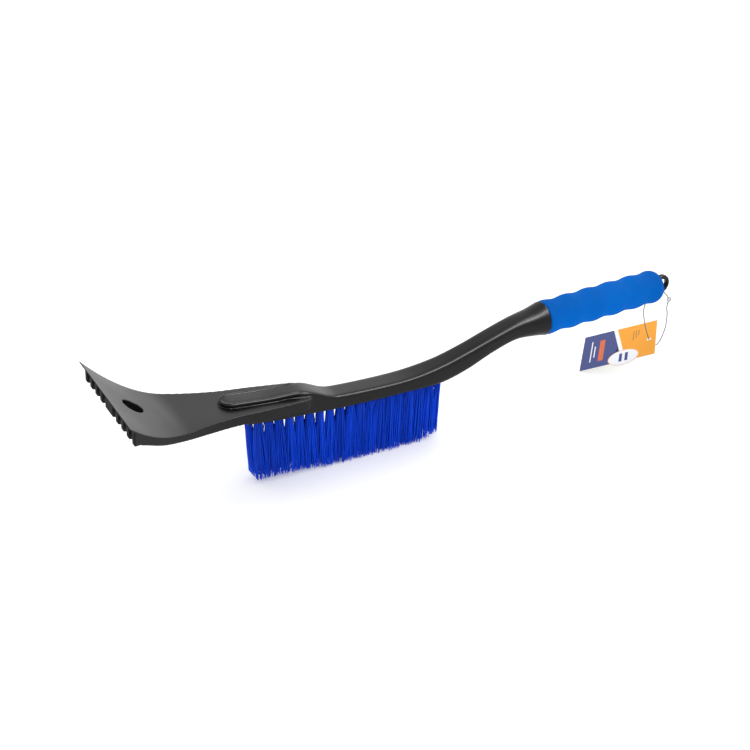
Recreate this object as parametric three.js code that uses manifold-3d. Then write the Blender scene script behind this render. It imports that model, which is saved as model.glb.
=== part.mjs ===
// Windscreen snow brush with an ice scraper, 519 mm long over its one-piece moulding.
//
// Millimetres. +X runs from the scraper blade to the hanging ring, +Y is to the left of that, and
// +Z is up. The origin is under the middle of the moulding's length, and the tips of the middle
// bristles stand on z = 0.
//
// The moulding carries everything: blade, side skirts, ice-breaking teeth, tongue, brush block,
// cranked shaft, collar, ribbed core and hanging ring. A foam sleeve is pushed over the core, the
// bristle tufts stand in blind holes in the brush block, and a swing tag hangs from the ring on a
// filament loop.

import * as THREE from 'three';
import { mergeVertices } from 'three/addons/utils/BufferGeometryUtils.js';
import Module from 'manifold-3d';

const wasm = await Module();
wasm.setup();

// ---------------------------------------------------------------- driving dimensions

const BLADE_FRONT_X = -260;
const RING_END_X = 259.3;
const FIT_GAP = 0.3;

// Scraper blade: a plate that runs straight along the neck and sweeps up to its front edge.
const BLADE_HALF_WIDTH = 52;
const BLADE_THICKNESS = 3.8;
const BLADE_LIP = 1.3;
const BLADE_LIP_LENGTH = 14;
const BLADE_BACK_X = -107;
const BLADE_BEND_X = -205;
const NECK_HEIGHT = 77.4;
const NECK_SLOPE = -0.071;
const SWEEP = 0.00856;
const SKIRT_THICKNESS = 2.6;

// Ice-breaking teeth under the front edge.
const TOOTH_PITCH = 10.6;
const TOOTH_WIDTH = 5.3;
const TEETH_PER_SIDE = 4;
const TOOTH_TIP = { x: -256.6, z: 91.2 };
const TOOTH_BACK_X = -231;

// Hanging hole through the blade.
const BLADE_HOLE_X = -238.8;
const BLADE_HOLE_RADIUS = 8.4;

// Brush: two rows of tufts in the underside of the block. The back row starts half a pitch nearer
// to the blade than the front row does.
const TUFTS_PER_ROW = 19;
const TUFT_PITCH = 9;
const TUFT_FIRST_X = -142.4;
const ROW_OFFSET = 4.6;
const TUFT_ROOT_RADIUS = 2.8;
const TUFT_TIP_RADIUS = 4.1;
const TUFT_HOLE_DEPTH = 8;
const TUFT_LEAN = 0.08;
const FLAT_TIPS = { from: -86, to: 1 };

// Grip: the handle's last quarter is tilted slightly up, and its parts turn about that axis.
const GRIP_START_X = 122.8;
const GRIP_HEIGHT = 85.2;
const GRIP_TILT = 0.0516;
const COLLAR_RADIUS = 14.6;
const CORE_RADIUS = 8.4;
const CORE_LENGTH = 122.6;
const CORE_RIB = 3;
const FOAM_LENGTH = 122.8;
const FOAM_BORE = CORE_RADIUS + FIT_GAP;

// Hanging ring at the end of the core.
const RING_HALF_THICKNESS = 2.4;
const RING_HALF_HEIGHT = 8.8;
const RING_WALL = 3.1;

// Swing tag on its filament loop.
const TAG_LENGTH = 70;
const TAG_WIDTH = 68;
const TAG_THICKNESS = 0.5;
const TAG_HOLE = { u: 63.5, v: 36.5, radius: 2.1 };
const TAG_BADGE = { u: 40.6, v: 8, radius: 14.5 };
const TAG_CORNER = new THREE.Vector3(243.2, 79.2, 0.5);
const TAG_HEADING = -0.736;
const TAG_TILT = 0.432;
const LOOP_RADIUS = 0.5;
const LOOP_SIDES = 8;
const LOOP_STEPS = 64;
const LOCK_CENTRE = new THREE.Vector3(261.4, -3, 75.6);
const LOCK_RADIUS = 2.3;

// The filament's centreline, from the lock up through the ring, down behind the grip's end,
// through the tag's hole from its printed side and back up to the lock.
const LOOP_POINTS = [
  [259.6, -3.4, 77.9],
  [256.6, -4.2, 81.2],
  [253.2, -4.4, 84.4],
  [251.8, -2.8, 87.1],
  [251.5, 0, 88.2],
  [251.4, 2.8, 87.1],
  [251.0, 4.6, 84.2],
  [249.2, 6.9, 78.6],
  [244.4, 7.4, 71.4],
  [242.6, 6.8, 65.0],
  [244.2, 6.8, 57.2],
  [248.4, 8.0, 47.6],
  [254.6, 11.6, 38.4],
  [259.8, 14.3, 31.2],
  [261.4, 13.4, 27.1],
  [262.4, 11.6, 24.0],
  [263.6, 8.8, 23.0],
  [264.6, 5.8, 25.0],
  [265.2, 3.4, 30.4],
  [265.2, 0.6, 39.6],
  [263.6, -2.2, 49.0],
  [262.2, -3.0, 60.0],
  [260.2, -3.0, 68.6],
  [260.6, -3.0, 72.6],
];

// ---------------------------------------------------------------- materials

const plastic = new THREE.MeshStandardMaterial({ color: 0x2b2a2b, roughness: 0.5, metalness: 0 });
const foam = new THREE.MeshStandardMaterial({ color: 0x0062c8, roughness: 0.9, metalness: 0 });
const bristle = new THREE.MeshStandardMaterial({ color: 0x0f37b9, roughness: 0.55, metalness: 0 });
const filament = new THREE.MeshStandardMaterial({ color: 0xc8c8c8, roughness: 0.3, metalness: 0 });
const card = new THREE.MeshStandardMaterial({ color: 0xf5a83c, roughness: 0.7, metalness: 0 });

// ---------------------------------------------------------------- solids

// A manifold-3d solid made from a closed three.js geometry.
function toSolid(geometry) {
  const bare = geometry.clone();
  bare.deleteAttribute('normal');
  bare.deleteAttribute('uv');
  const merged = mergeVertices(bare, 1e-5);
  const vertProperties = new Float32Array(merged.attributes.position.array);
  const triVerts = new Uint32Array(merged.index.array);
  return new wasm.Manifold(new wasm.Mesh({ numProp: 3, vertProperties, triVerts }));
}

function toGeometry(solid) {
  const mesh = solid.getMesh();
  const geometry = new THREE.BufferGeometry();
  geometry.setAttribute('position', new THREE.BufferAttribute(mesh.vertProperties, 3));
  geometry.setIndex(new THREE.BufferAttribute(mesh.triVerts, 1));
  geometry.computeVertexNormals();
  return geometry;
}

function addAll(solids) {
  return solids.reduce((sum, solid) => sum.add(solid));
}

function namedMesh(name, geometry, material) {
  const mesh = new THREE.Mesh(geometry, material);
  mesh.name = name;
  return mesh;
}

// A flat outline in X and Z, given as [x, z] points, as thick as y0 to y1.
function sidePlate(points, y0, y1) {
  const shape = new THREE.Shape(points.map(([x, z]) => new THREE.Vector2(x, z)));
  const geometry = new THREE.ExtrudeGeometry(shape, { depth: y1 - y0, bevelEnabled: false });
  geometry.rotateX(Math.PI / 2);
  geometry.translate(0, y1, 0);
  return toSolid(geometry);
}

// A flat outline in X and Y, given as [x, y] points, as thick as z0 to z1.
function planPlate(points, z0, z1) {
  const shape = new THREE.Shape(points.map(([x, y]) => new THREE.Vector2(x, y)));
  const geometry = new THREE.ExtrudeGeometry(shape, { depth: z1 - z0, bevelEnabled: false });
  geometry.translate(0, 0, z0);
  return toSolid(geometry);
}

// A smooth line through [x, value] points, as many evenly spaced points along it.
function smoothLine(points, count) {
  const curve = new THREE.SplineCurve(points.map(([x, value]) => new THREE.Vector2(x, value)));
  return curve.getPoints(count).map((point) => [point.x, point.y]);
}

// A solid through closed rings of equally many points, with flat ends.
function loft(rings) {
  const count = rings[0].length;
  const positions = rings.flat().flatMap((point) => [point.x, point.y, point.z]);
  const faces = [];
  for (let ring = 0; ring < rings.length - 1; ring += 1) {
    for (let i = 0; i < count; i += 1) {
      const a = ring * count + i;
      const b = ring * count + ((i + 1) % count);
      faces.push(a, b, b + count, a, b + count, a + count);
    }
  }
  const last = (rings.length - 1) * count;
  for (let i = 1; i < count - 1; i += 1) {
    faces.push(0, i + 1, i);
    faces.push(last, last + i, last + i + 1);
  }
  const geometry = new THREE.BufferGeometry();
  geometry.setAttribute('position', new THREE.Float32BufferAttribute(positions, 3));
  geometry.setIndex(faces);
  return toSolid(geometry);
}

// One cross-section of the shaft: a rounded box, squarer with a higher exponent, whose top may be
// narrower than its foot and which leans back by tilt.
function section({ x, top, foot, topHalf, footHalf, squareness, tilt = 0 }, count = 20) {
  const middle = (top + foot) / 2;
  const halfHeight = (top - foot) / 2;
  const points = [];
  for (let i = 0; i < count; i += 1) {
    const angle = (2 * Math.PI * (i + 0.5)) / count;
    const across = Math.sign(Math.cos(angle)) * Math.abs(Math.cos(angle)) ** (2 / squareness);
    const up = Math.sign(Math.sin(angle)) * Math.abs(Math.sin(angle)) ** (2 / squareness);
    const halfWidth = THREE.MathUtils.lerp(footHalf, topHalf, (up + 1) / 2);
    const rise = up * halfHeight;
    points.push(new THREE.Vector3(x - rise * tilt, across * halfWidth, middle + rise));
  }
  return points;
}

// ---------------------------------------------------------------- blade

function bladeTop(x) {
  const sweep = Math.max(0, BLADE_BEND_X - x);
  return NECK_HEIGHT + NECK_SLOPE * (x + 200) + SWEEP * sweep * sweep;
}

function bladeUnderside(x) {
  const fromEdge = Math.min(1, (x - BLADE_FRONT_X) / BLADE_LIP_LENGTH);
  return bladeTop(x) - THREE.MathUtils.lerp(BLADE_LIP, BLADE_THICKNESS, fromEdge);
}

// Heights of a line along the blade, at even steps from x0 to x1.
function along(height, x0, x1, step = 6) {
  const count = Math.ceil(Math.abs(x1 - x0) / step);
  return Array.from({ length: count + 1 }, (_, i) => {
    const x = x0 + ((x1 - x0) * i) / count;
    return [x, height(x)];
  });
}

// The blade's half-width, from its front corner back to where it ends beside the shaft.
const bladeSide = smoothLine(
  [
    [BLADE_FRONT_X, BLADE_HALF_WIDTH],
    [-240, 43.6],
    [-215, 33.4],
    [-190, 25.4],
    [-165, 20.6],
    [-140, 18.8],
    [-113, 15.9],
    [BLADE_BACK_X, 12],
  ],
  22,
);

function bladeOutline(inset) {
  const left = bladeSide.map(([x, halfWidth]) => [x, halfWidth - inset]);
  const right = left.map(([x, halfWidth]) => [x, -halfWidth]).reverse();
  return [...left, ...right];
}

const skirtFoot = smoothLine(
  [
    [BLADE_FRONT_X, 93],
    [-250, 88.8],
    [-230, 79.2],
    [-210, 73.8],
    [-190, 71.2],
    [-165, 68.0],
    [-140, 64.4],
    [BLADE_BACK_X, 62],
  ],
  16,
);

function tooth(yMiddle, width) {
  const roof = along((x) => bladeTop(x) - BLADE_LIP / 2, TOOTH_BACK_X, TOOTH_TIP.x);
  const outline = [...roof, [TOOTH_TIP.x, TOOTH_TIP.z]];
  return sidePlate(outline, yMiddle - width / 2, yMiddle + width / 2);
}

function teeth() {
  const centreWidth = TOOTH_PITCH + TOOTH_WIDTH;
  const solids = [tooth(0, centreWidth)];
  for (let i = 1; i <= TEETH_PER_SIDE; i += 1) {
    const y = (i + 0.5) * TOOTH_PITCH;
    solids.push(tooth(y, TOOTH_WIDTH), tooth(-y, TOOTH_WIDTH));
  }
  return addAll(solids);
}

function stiffeningRib(y) {
  const roof = along((x) => bladeTop(x) - BLADE_THICKNESS / 2, -150, -246);
  const foot = along((x) => bladeTop(x) - 8, -240, -150);
  return sidePlate([...roof, ...foot], y - 1.2, y + 1.2);
}

function blade() {
  const reach = BLADE_HALF_WIDTH + 10;
  const top = along(bladeTop, BLADE_BACK_X, BLADE_FRONT_X);
  const underside = along(bladeUnderside, BLADE_FRONT_X, BLADE_BACK_X);
  const plate = sidePlate([...top, ...underside], -reach, reach);
  const skirtBand = sidePlate([...top, ...skirtFoot], -reach, reach);
  const inside = planPlate(bladeOutline(SKIRT_THICKNESS), 0, 200);
  const frontGap = planPlate([[-300, -reach], [-251, -reach], [-251, reach], [-300, reach]], 0, 200);
  const skirt = skirtBand.subtract(inside).subtract(frontGap);
  const ribs = [stiffeningRib(-15), stiffeningRib(15)];
  const rough = addAll([plate, skirt, teeth(), ...ribs]);
  return rough.intersect(planPlate(bladeOutline(0), 0, 200));
}

function bladeHole() {
  const slope = NECK_SLOPE - 2 * SWEEP * (BLADE_BEND_X - BLADE_HOLE_X);
  const cutter = new THREE.CylinderGeometry(BLADE_HOLE_RADIUS, BLADE_HOLE_RADIUS, 40, 24);
  cutter.rotateX(Math.PI / 2);
  cutter.rotateY(-Math.atan(slope));
  cutter.translate(BLADE_HOLE_X, 0, bladeTop(BLADE_HOLE_X));
  return toSolid(cutter);
}

// ---------------------------------------------------------------- tongue, block and shaft

// The raised tongue on the neck, which runs back and down into the shaft's top.
const TONGUE = { noseX: -172, noseLength: 10, endX: -80, half: 9.2, foot: 60 };
const tongueTop = smoothLine(
  [
    [TONGUE.noseX, 77.6],
    [-165, 78.6],
    [-135, 76.0],
    [-112, 75.2],
    [-100, 73.2],
    [-90, 68.8],
    [TONGUE.endX, 62.5],
  ],
  20,
);

function tongue() {
  const rings = tongueTop.map(([x, top]) => {
    const intoNose = Math.max(0, 1 - (x - TONGUE.noseX) / TONGUE.noseLength);
    const topHalf = TONGUE.half * Math.sqrt(1 - (0.97 * intoNose) ** 2);
    return section({ x, top, foot: TONGUE.foot, topHalf, footHalf: topHalf + 0.6, squareness: 5 });
  });
  return loft(rings);
}

// Sections of the brush block, the cranked shaft and the collar, which smooth lines join.
const SHAFT_SECTIONS = [
  { x: -153, top: 71.6, foot: 58.4, topHalf: 11.0, footHalf: 11.8, squareness: 8 },
  { x: -125, top: 69.6, foot: 55.4, topHalf: 11.0, footHalf: 11.6, squareness: 8 },
  { x: -104, top: 66.8, foot: 54.0, topHalf: 10.2, footHalf: 11.4, squareness: 7 },
  { x: -80, top: 64.2, foot: 52.6, topHalf: 9.6, footHalf: 11.0, squareness: 7 },
  { x: -45, top: 62.6, foot: 51.6, topHalf: 9.6, footHalf: 10.8, squareness: 7 },
  { x: -10, top: 62.9, foot: 51.6, topHalf: 9.6, footHalf: 10.8, squareness: 7 },
  { x: 20, top: 67.4, foot: 51.0, topHalf: 9.4, footHalf: 10.2, squareness: 5 },
  { x: 45, top: 74.6, foot: 56.6, topHalf: 9.4, footHalf: 9.6, squareness: 4 },
  { x: 70, top: 83.2, foot: 67.2, topHalf: 9.6, footHalf: 9.6, squareness: 3.6 },
  { x: 92, top: 90.5, foot: 73.8, topHalf: 10.2, footHalf: 10.2, squareness: 3 },
  { x: 110, top: 95.0, foot: 73.0, topHalf: 12.2, footHalf: 12.2, squareness: 2.4 },
  { x: GRIP_START_X, top: 99.8, foot: 70.6, topHalf: COLLAR_RADIUS, footHalf: COLLAR_RADIUS, squareness: 2 },
];

function shaft() {
  const keys = Object.keys(SHAFT_SECTIONS[0]);
  const lines = keys.slice(1).map((key) => {
    const points = SHAFT_SECTIONS.map((entry) => new THREE.Vector3(entry.x, entry[key], 0));
    return new THREE.CatmullRomCurve3(points, false, 'catmullrom', 0.5);
  });
  const perGap = 3;
  const count = (SHAFT_SECTIONS.length - 1) * perGap;
  const rings = [];
  for (let i = 0; i <= count; i += 1) {
    const values = { x: lines[0].getPoint(i / count).x };
    keys.slice(1).forEach((key, k) => {
      values[key] = lines[k].getPoint(i / count).y;
    });
    const towardsGrip = THREE.MathUtils.smoothstep(values.x, 90, GRIP_START_X);
    rings.push(section({ ...values, tilt: GRIP_TILT * towardsGrip }));
  }
  return loft(rings);
}

// ---------------------------------------------------------------- core and ring

// Puts a solid that is drawn along +X from the origin onto the grip's tilted axis.
function onGripAxis(geometry) {
  geometry.rotateY(-Math.atan(GRIP_TILT));
  geometry.translate(GRIP_START_X, 0, GRIP_HEIGHT);
  return geometry;
}

function discAlongX(radius, from, to, sides) {
  const disc = new THREE.CylinderGeometry(radius, radius, to - from, sides);
  disc.rotateZ(Math.PI / 2);
  disc.translate((from + to) / 2, 0, 0);
  return disc;
}

function barAlongX(from, to, depth, height) {
  const bar = new THREE.BoxGeometry(to - from, depth, height);
  bar.translate((from + to) / 2, 0, 0);
  return bar;
}

function coreParts() {
  const reach = 2 * Math.sqrt(CORE_RADIUS ** 2 - (CORE_RIB / 2) ** 2);
  const parts = [
    barAlongX(-2, CORE_LENGTH - 1, CORE_RIB, reach),
    barAlongX(-2, CORE_LENGTH - 1, reach, CORE_RIB),
    discAlongX(CORE_RADIUS, CORE_LENGTH - 2.4, CORE_LENGTH, 24),
  ];
  const webs = 5;
  for (let i = 1; i < webs; i += 1) {
    const x = (CORE_LENGTH * i) / webs;
    parts.push(discAlongX(CORE_RADIUS, x - 1, x + 1, 24));
  }
  return parts;
}

// The ring stands upright behind the core: a D-shaped eye with its hole across the tool.
function ringGeometry() {
  const start = CORE_LENGTH - 2;
  const bulge = RING_END_X - GRIP_START_X;
  const outline = new THREE.Shape();
  outline.moveTo(start, -RING_HALF_HEIGHT + 0.6);
  outline.bezierCurveTo(bulge - 2, -RING_HALF_HEIGHT, bulge, -5, bulge, 0);
  outline.bezierCurveTo(bulge, 5, bulge - 2, RING_HALF_HEIGHT, start, RING_HALF_HEIGHT - 0.6);
  const hole = new THREE.Path();
  const holeEnd = bulge - RING_WALL;
  const holeStart = CORE_LENGTH + 0.4;
  const middle = (holeEnd + holeStart) / 2;
  hole.moveTo(middle, -4.9);
  hole.bezierCurveTo(holeEnd, -4.9, holeEnd, -3, holeEnd, 0);
  hole.bezierCurveTo(holeEnd, 3, holeEnd, 4.9, middle, 4.9);
  hole.bezierCurveTo(holeStart, 4.9, holeStart, 3, holeStart, 0);
  hole.bezierCurveTo(holeStart, -3, holeStart, -4.9, middle, -4.9);
  outline.holes.push(hole);
  const bevel = 0.8;
  const ring = new THREE.ExtrudeGeometry(outline, {
    depth: 2 * (RING_HALF_THICKNESS - bevel),
    bevelEnabled: true,
    bevelThickness: bevel,
    bevelSize: bevel,
    bevelOffset: -bevel,
    bevelSegments: 1,
    curveSegments: 6,
  });
  ring.translate(0, 0, -(RING_HALF_THICKNESS - bevel));
  ring.rotateX(Math.PI / 2);
  return ring;
}

// ---------------------------------------------------------------- brush

// Height of the block's underside over a tuft, and of the tips where the brush is trimmed.
function blockUnderside(x) {
  const neck = Math.max(0, -80 - x);
  return 51.6 + 0.045 * neck + 0.0005 * neck * neck;
}

function tipHeight(x) {
  const before = Math.max(0, FLAT_TIPS.from - x);
  const after = Math.max(0, x - FLAT_TIPS.to);
  return 0.075 * before + 0.3 * after;
}

// Where each tuft stands: its mouth in the block, its lean and its name.
function tuftPlaces() {
  const rows = [
    { name: 'tuft_front', firstX: TUFT_FIRST_X, y: -ROW_OFFSET },
    { name: 'tuft_back', firstX: TUFT_FIRST_X - TUFT_PITCH / 2, y: ROW_OFFSET },
  ];
  return rows.flatMap((row) =>
    Array.from({ length: TUFTS_PER_ROW }, (_, i) => {
      const x = row.firstX + i * TUFT_PITCH;
      const fromMiddle = Math.max(0, -60 - x) / 85;
      return {
        name: `${row.name}_${String(i + 1).padStart(2, '0')}`,
        mouth: new THREE.Vector3(x, row.y, blockUnderside(x)),
        lean: -TUFT_LEAN * fromMiddle,
        length: blockUnderside(x) - tipHeight(x) - 0.35 * fromMiddle,
      };
    }),
  );
}

// A tuft about its mouth: straight in its hole above, and spreading to its trimmed tips below.
function tuftGeometry(length) {
  const profile = [
    new THREE.Vector2(0, -length),
    new THREE.Vector2(TUFT_TIP_RADIUS, -length),
    new THREE.Vector2(TUFT_ROOT_RADIUS, -1),
    new THREE.Vector2(TUFT_ROOT_RADIUS, TUFT_HOLE_DEPTH - FIT_GAP),
    new THREE.Vector2(0, TUFT_HOLE_DEPTH - FIT_GAP),
  ];
  const tuft = new THREE.LatheGeometry(profile, 10);
  tuft.rotateX(Math.PI / 2);
  return tuft;
}

function tuftHole(place) {
  const radius = TUFT_ROOT_RADIUS + FIT_GAP;
  const below = 6;
  const cutter = new THREE.CylinderGeometry(radius, radius, TUFT_HOLE_DEPTH + below, 10);
  cutter.rotateX(Math.PI / 2);
  cutter.translate(0, 0, (TUFT_HOLE_DEPTH - below) / 2);
  cutter.rotateY(place.lean);
  cutter.translate(place.mouth.x, place.mouth.y, place.mouth.z);
  return toSolid(cutter);
}

// ---------------------------------------------------------------- pieces

function body(places) {
  const handle = [...coreParts(), ringGeometry()].map((part) => toSolid(onGripAxis(part)));
  const whole = addAll([blade(), tongue(), shaft(), ...handle]);
  const holes = addAll([bladeHole(), ...places.map(tuftHole)]);
  return toGeometry(whole.subtract(holes));
}

// The sleeve's outside: a plain collar end, then five finger swells that grow towards the ring.
function foamGrip() {
  const firstSwell = 27;
  const swellPitch = 22.6;
  const endRound = 10;
  const start = 0.5;
  const profile = [new THREE.Vector2(FOAM_BORE, start)];
  const steps = 42;
  for (let i = 0; i <= steps; i += 1) {
    const s = start + ((FOAM_LENGTH - start) * i) / steps;
    const swell = 0.5 + 0.5 * Math.cos((2 * Math.PI * (s - firstSwell)) / swellPitch);
    const full = 13.7 + 1.0 * swell;
    const intoEnd = Math.max(0, (s - FOAM_LENGTH + endRound) / endRound);
    const rounding = Math.sqrt(1 - (0.999 * intoEnd) ** 2);
    profile.push(new THREE.Vector2(10.4 + (full - 10.4) * rounding, s));
  }
  profile.push(new THREE.Vector2(FOAM_BORE, FOAM_LENGTH));
  profile.push(profile[0].clone());
  const sleeve = new THREE.LatheGeometry(profile, 24);
  sleeve.rotateZ(-Math.PI / 2);
  return onGripAxis(sleeve);
}

function loopTube() {
  const points = LOOP_POINTS.map(([x, y, z]) => new THREE.Vector3(x, y, z));
  const path = new THREE.CatmullRomCurve3(points, false, 'centripetal');
  const round = new THREE.Shape();
  for (let i = 0; i < LOOP_SIDES; i += 1) {
    const angle = (2 * Math.PI * i) / LOOP_SIDES;
    const x = LOOP_RADIUS * Math.cos(angle);
    const y = LOOP_RADIUS * Math.sin(angle);
    if (i === 0) {
      round.moveTo(x, y);
    } else {
      round.lineTo(x, y);
    }
  }
  return new THREE.ExtrudeGeometry(round, { steps: LOOP_STEPS, extrudePath: path });
}

// The card, drawn with its length along +X and its width along +Y, and its round badge standing
// proud of one long edge.
function tagGeometry() {
  const outline = new THREE.Shape();
  const reach = Math.sqrt(TAG_BADGE.radius ** 2 - TAG_BADGE.v ** 2);
  const edge = -TAG_WIDTH;
  const open = Math.asin(TAG_BADGE.v / TAG_BADGE.radius);
  outline.moveTo(0, 0);
  outline.lineTo(0, edge);
  outline.lineTo(TAG_BADGE.u - reach, edge);
  outline.absarc(TAG_BADGE.u, edge + TAG_BADGE.v, TAG_BADGE.radius, Math.PI + open, -open, false);
  outline.lineTo(TAG_LENGTH, edge);
  outline.lineTo(TAG_LENGTH, 0);
  outline.closePath();
  const hole = new THREE.Path();
  hole.absarc(TAG_HOLE.u, -TAG_HOLE.v, TAG_HOLE.radius, 0, 2 * Math.PI, true);
  outline.holes.push(hole);
  const options = { depth: TAG_THICKNESS, bevelEnabled: false, curveSegments: 16 };
  const tag = new THREE.ExtrudeGeometry(outline, options);
  tag.translate(0, 0, -TAG_THICKNESS / 2);
  return tag;
}

function hangTag() {
  const tag = namedMesh('hang_tag', tagGeometry(), card);
  tag.position.copy(TAG_CORNER);
  tag.rotation.set(0, -TAG_TILT, TAG_HEADING, 'ZYX');
  return tag;
}

function loopLock() {
  const lock = namedMesh('loop_lock', new THREE.SphereGeometry(LOCK_RADIUS, 12, 8), filament);
  lock.position.copy(LOCK_CENTRE);
  return lock;
}

// ---------------------------------------------------------------- assembly

const places = tuftPlaces();
const brush = new THREE.Group();
for (const place of places) {
  const tuft = namedMesh(place.name, tuftGeometry(place.length), bristle);
  tuft.position.copy(place.mouth);
  tuft.rotation.y = place.lean;
  brush.add(tuft);
}

const scraper = new THREE.Group();
scraper.add(namedMesh('body', body(places), plastic));
scraper.add(namedMesh('foam_grip', foamGrip(), foam));
scraper.add(brush);
scraper.add(namedMesh('tag_loop', loopTube(), filament));
scraper.add(loopLock());
scraper.add(hangTag());

export default scraper;
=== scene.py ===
# Windscreen snow brush with an ice scraper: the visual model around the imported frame.
# The tables below are in millimetres, in the frame's axes, and meshes are made in metres.
import math
import random

import bpy
import numpy as np
from mathutils import Matrix, Vector


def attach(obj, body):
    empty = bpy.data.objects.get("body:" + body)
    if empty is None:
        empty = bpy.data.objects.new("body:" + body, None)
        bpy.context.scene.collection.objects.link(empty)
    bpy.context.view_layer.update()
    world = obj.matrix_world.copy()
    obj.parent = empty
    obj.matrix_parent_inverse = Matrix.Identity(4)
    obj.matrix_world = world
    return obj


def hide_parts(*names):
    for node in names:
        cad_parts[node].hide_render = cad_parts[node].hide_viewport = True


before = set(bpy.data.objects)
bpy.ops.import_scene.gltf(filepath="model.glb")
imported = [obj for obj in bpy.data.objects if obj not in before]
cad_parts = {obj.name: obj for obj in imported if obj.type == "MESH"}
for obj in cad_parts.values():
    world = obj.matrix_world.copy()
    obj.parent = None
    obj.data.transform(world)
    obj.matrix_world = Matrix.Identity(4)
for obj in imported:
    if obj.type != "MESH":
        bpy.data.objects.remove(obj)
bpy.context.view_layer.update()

MM = 0.001


# ---------------------------------------------------------------- camera
CAMERA_PLACE = Vector((-519.08, -791.35, 598.68)) * MM
CAMERA_AZIMUTH = math.radians(-31.32)
CAMERA_ELEVATION = math.radians(29.77)
CAMERA_ROLL = math.radians(3.24)
CAMERA_LENS = 64.68


def make_camera():
    azimuth, elevation = CAMERA_AZIMUTH, CAMERA_ELEVATION
    level = math.cos(elevation)
    back = Vector((math.sin(azimuth) * level, -math.cos(azimuth) * level, math.sin(elevation)))
    flat_right = Vector((math.cos(azimuth), math.sin(azimuth), 0))
    flat_up = back.cross(flat_right)
    right = flat_right * math.cos(CAMERA_ROLL) + flat_up * math.sin(CAMERA_ROLL)
    up = flat_up * math.cos(CAMERA_ROLL) - flat_right * math.sin(CAMERA_ROLL)
    data = bpy.data.cameras.new("camera")
    data.lens = CAMERA_LENS
    data.sensor_width = 36
    data.clip_start = 0.01
    data.clip_end = 20
    camera = bpy.data.objects.new("camera", data)
    turn = Matrix((right, up, back)).transposed().to_4x4()
    camera.matrix_world = Matrix.Translation(CAMERA_PLACE) @ turn
    bpy.context.collection.objects.link(camera)
    bpy.context.scene.camera = camera


make_camera()


# ---------------------------------------------------------------- lines and meshes
LINE_STEPS = 24
ROUND_LINE_STEPS = 10


def smooth_line(points):
    """A function of x through [x, value] points, along a uniform Catmull-Rom spline."""
    padded = np.array([points[0], *points, points[-1]], float)
    steps = np.linspace(0, 1, LINE_STEPS, endpoint=False)[:, None]
    rows = []
    for i in range(len(points) - 1):
        a, b, c, d = padded[i:i + 4]
        square, cube = steps ** 2, steps ** 3
        bend = (2 * a - 5 * b + 4 * c - d) * square + (3 * b - 3 * c + d - a) * cube
        rows.extend(0.5 * (2 * b + (c - a) * steps + bend))
    rows = np.array([*rows, padded[-1]])
    return lambda x: np.interp(x, rows[:, 0], rows[:, 1])


def round_line(points):
    """Points along a centripetal Catmull-Rom spline through points in space."""
    points = np.array(points, float)
    before, after = 2 * points[0] - points[1], 2 * points[-1] - points[-2]
    padded = np.concatenate([[before], points, [after]])
    rows = []
    for i in range(len(points) - 1):
        a, b, c, d = padded[i:i + 4]
        ab, bc, cd = (math.sqrt(np.linalg.norm(step)) for step in (b - a, c - b, d - c))
        leave = ((b - a) / ab - (c - a) / (ab + bc) + (c - b) / bc) * bc
        arrive = ((c - b) / bc - (d - b) / (bc + cd) + (d - c) / cd) * bc
        for t in np.linspace(0, 1, ROUND_LINE_STEPS, endpoint=False):
            square = (-3 * b + 3 * c - 2 * leave - arrive) * t ** 2
            cube = (2 * b - 2 * c + leave + arrive) * t ** 3
            rows.append(b + leave * t + square + cube)
    return np.array([*rows, points[-1]])


def eased(x, start, end):
    """0 before start and 1 past end, with a smooth rise between them."""
    share = np.clip((x - start) / (end - start), 0, 1)
    return share * share * (3 - 2 * share)


def full_turn(count):
    """Evenly spaced angles once round."""
    return np.linspace(0, 2 * math.pi, count, endpoint=False)


def loft(rings, closed=False):
    """Points and faces of a skin through rings of equally many points, with ends unless closed."""
    rings = np.array(rings)
    count, size = rings.shape[:2]
    faces = []
    for i in range(count if closed else count - 1):
        here, there = i * size, ((i + 1) % count) * size
        for j in range(size):
            k = (j + 1) % size
            faces.append((here + j, here + k, there + k, there + j))
    if not closed:
        faces.append(tuple(range(size))[::-1])
        faces.append(tuple(range((count - 1) * size, count * size)))
    return rings.reshape(-1, 3), faces


def joined(solids):
    points, faces, offset = [], [], 0
    for solid_points, solid_faces in solids:
        points.extend(solid_points)
        faces.extend(tuple(index + offset for index in face) for face in solid_faces)
        offset += len(solid_points)
    return np.array(points), faces


def make_object(name, solid, material=None, smooth=True):
    """A mesh object in metres from points in millimetres, its faces turned outwards."""
    points, faces = solid
    mesh = bpy.data.meshes.new(name)
    mesh.from_pydata([tuple(point * MM) for point in np.asarray(points)], [], faces)
    mesh.validate()
    if signed_volume(mesh) < 0:
        mesh.flip_normals()
    mesh.polygons.foreach_set("use_smooth", [smooth] * len(mesh.polygons))
    thing = bpy.data.objects.new(name, mesh)
    bpy.context.collection.objects.link(thing)
    if material:
        mesh.materials.append(material)
    return thing


def signed_volume(mesh):
    mesh.calc_loop_triangles()
    places = np.empty(len(mesh.vertices) * 3)
    mesh.vertices.foreach_get("co", places)
    places = places.reshape(-1, 3)
    corners = np.empty(len(mesh.loop_triangles) * 3, dtype=np.int32)
    mesh.loop_triangles.foreach_get("vertices", corners)
    a, b, c = (places[corners.reshape(-1, 3)[:, k]] for k in range(3))
    return float(np.einsum("ij,ij->", a, np.cross(b, c)))


def prism_xz(points, y0, y1):
    """An outline of [x, z] points, as thick as y0 to y1."""
    return loft([[(x, y, z) for x, z in points] for y in (y0, y1)])


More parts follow.
